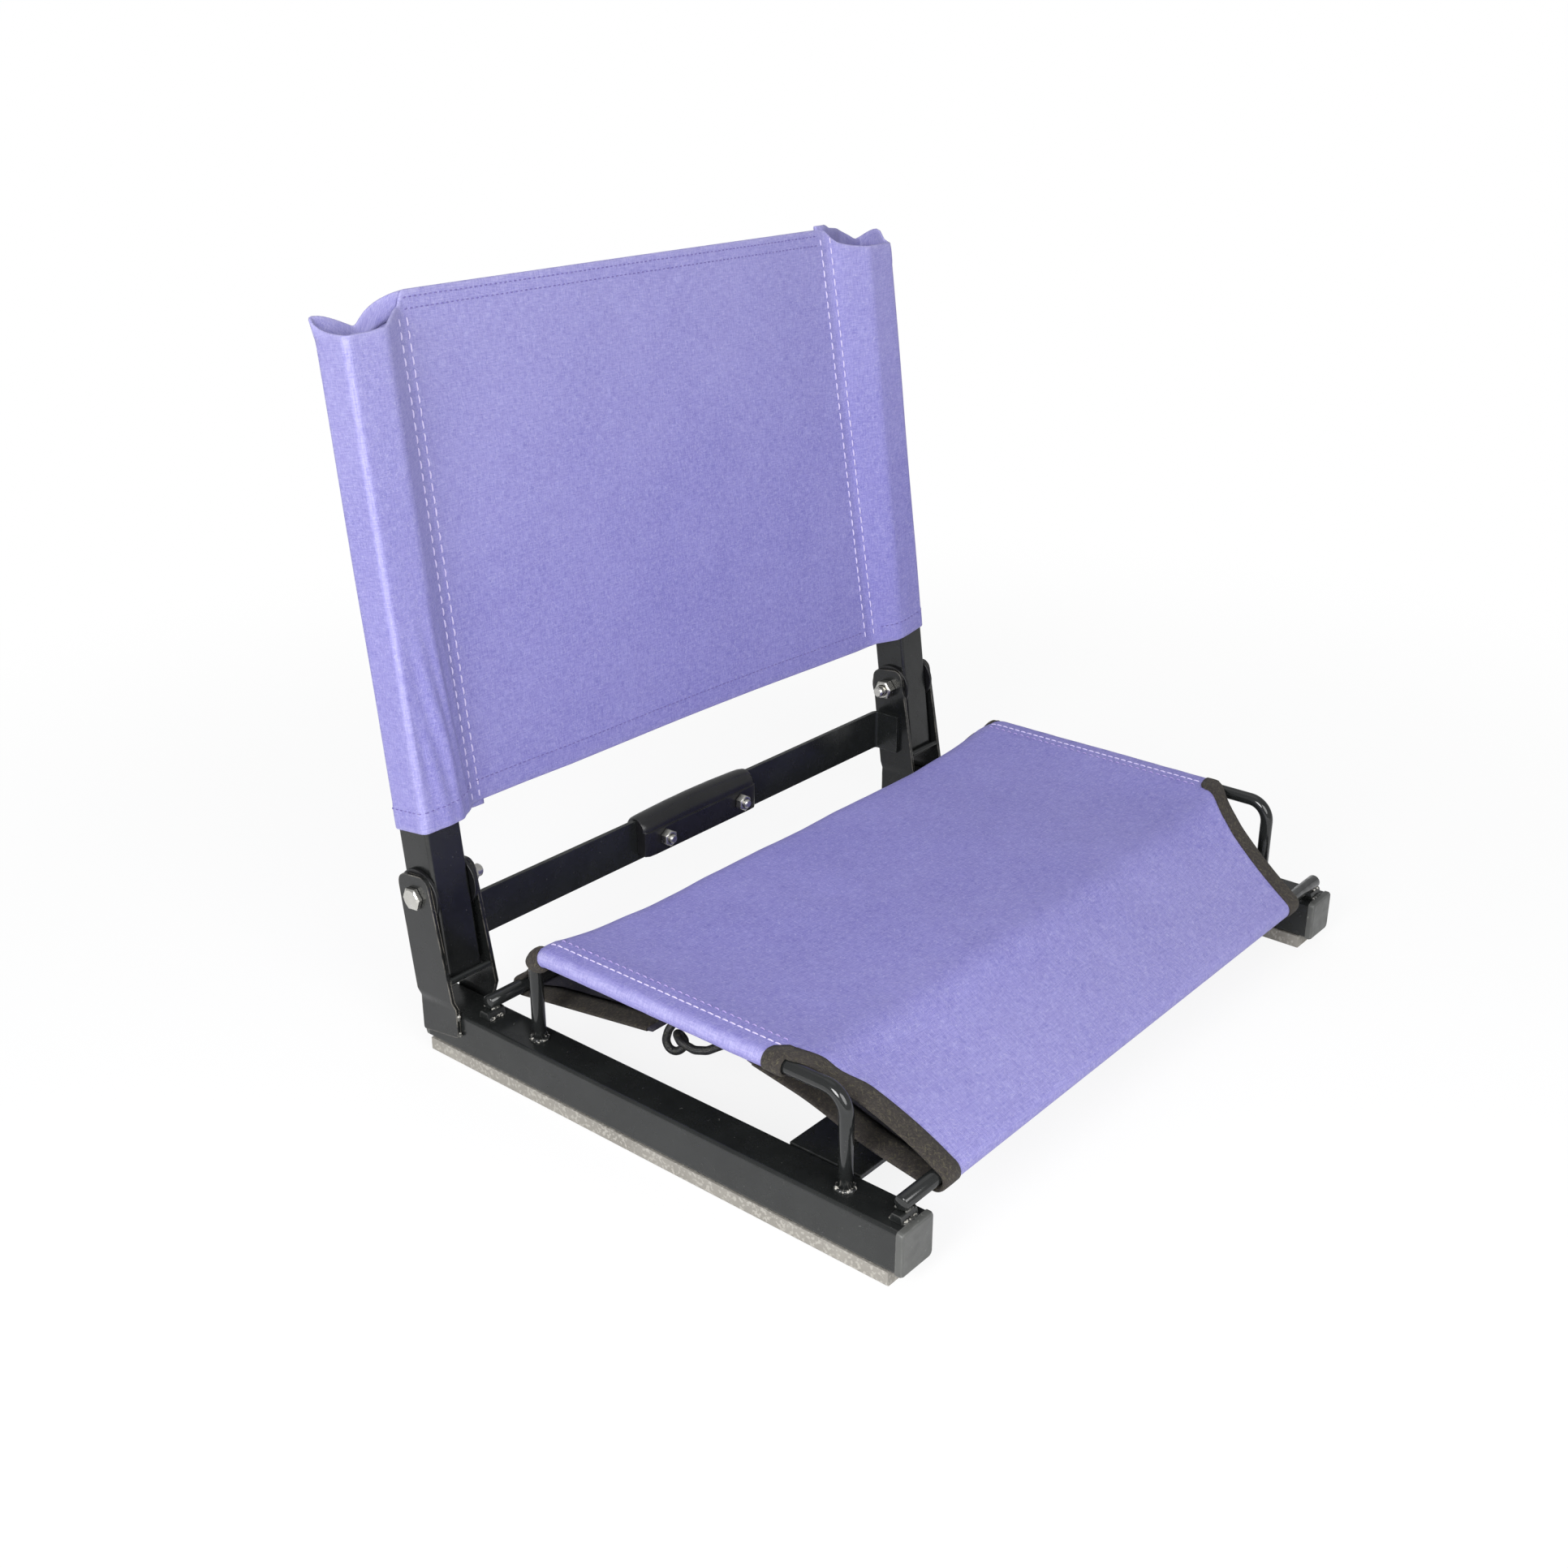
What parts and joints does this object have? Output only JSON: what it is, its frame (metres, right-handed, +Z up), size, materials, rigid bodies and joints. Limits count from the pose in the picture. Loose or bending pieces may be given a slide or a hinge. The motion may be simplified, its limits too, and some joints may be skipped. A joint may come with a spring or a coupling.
{
  "type": "stadium chair",
  "caption": "Low folding bench chair: square-tube rails on rubber strips, laced canvas seat over round rods, and a canvas-slung back that folds forward.",
  "frame": {"origin": "middle of the chair's footprint, at the underside of the rubber strips", "axes": "+X across the seat to the right as seen from the front, -Y to the front of the seat, +Z up"},
  "size_m": [0.4916, 0.4004, 0.4331],
  "materials": {
    "coated_steel": "semi-gloss black coating",
    "plug_plastic": "moulded, satin",
    "grey_rubber": "matt",
    "zinc": "bright zinc plate",
    "black_nylon": "moulded, satin",
    "canvas": "plain woven polyester",
    "elastic": "braided sheath over elastic"
  },
  "bodies": {
    "base": {"rail_left": "coated_steel", "front_cap_left": "plug_plastic", "rear_cap_left": "plug_plastic", "grip_strip_left": "grey_rubber", "bracket_plate_left_outer": "coated_steel", "spacer_disc_left_outer": "black_nylon", "bracket_plate_left_inner": "coated_steel", "spacer_disc_left_inner": "black_nylon", "stop_pin_left": "coated_steel", "pivot_bolt_left": "zinc", "pivot_nut_left": "zinc", "seat_side_rod_left": "coated_steel", "front_rod_saddle_left": "coated_steel", "rear_rod_saddle_left": "coated_steel", "plate_tab_left": "coated_steel", "plate_bolt_left": "zinc", "plate_nut_left": "zinc", "grip_bolt_left": "zinc", "grip_nut_left": "zinc", "rail_right": "coated_steel", "front_cap_right": "plug_plastic", "rear_cap_right": "plug_plastic", "grip_strip_right": "grey_rubber", "bracket_plate_right_outer": "coated_steel", "spacer_disc_right_outer": "black_nylon", "bracket_plate_right_inner": "coated_steel", "spacer_disc_right_inner": "black_nylon", "stop_pin_right": "coated_steel", "pivot_bolt_right": "zinc", "pivot_nut_right": "zinc", "seat_side_rod_right": "coated_steel", "front_rod_saddle_right": "coated_steel", "rear_rod_saddle_right": "coated_steel", "plate_tab_right": "coated_steel", "plate_bolt_right": "zinc", "plate_nut_right": "zinc", "grip_bolt_right": "zinc", "grip_nut_right": "zinc", "front_rod": "coated_steel", "rear_rod": "coated_steel", "front_cross_plate": "coated_steel", "carry_bar": "coated_steel", "carry_grip": "black_nylon", "seat_canvas": "canvas", "seat_lacing": "elastic"},
    "backrest": {"post_left": "coated_steel", "post_cap_left": "plug_plastic", "post_foot_left": "plug_plastic", "post_right": "coated_steel", "post_cap_right": "plug_plastic", "post_foot_right": "plug_plastic", "back_sling": "canvas"}
  },
  "joints": [
    {"name": "back_fold", "type": "hinge", "parent": "base", "child": "backrest", "pos_m": [0, 0.14508, 0.1047], "axis": [1, 0, 0], "range_deg": [0, 94]}
  ]
}
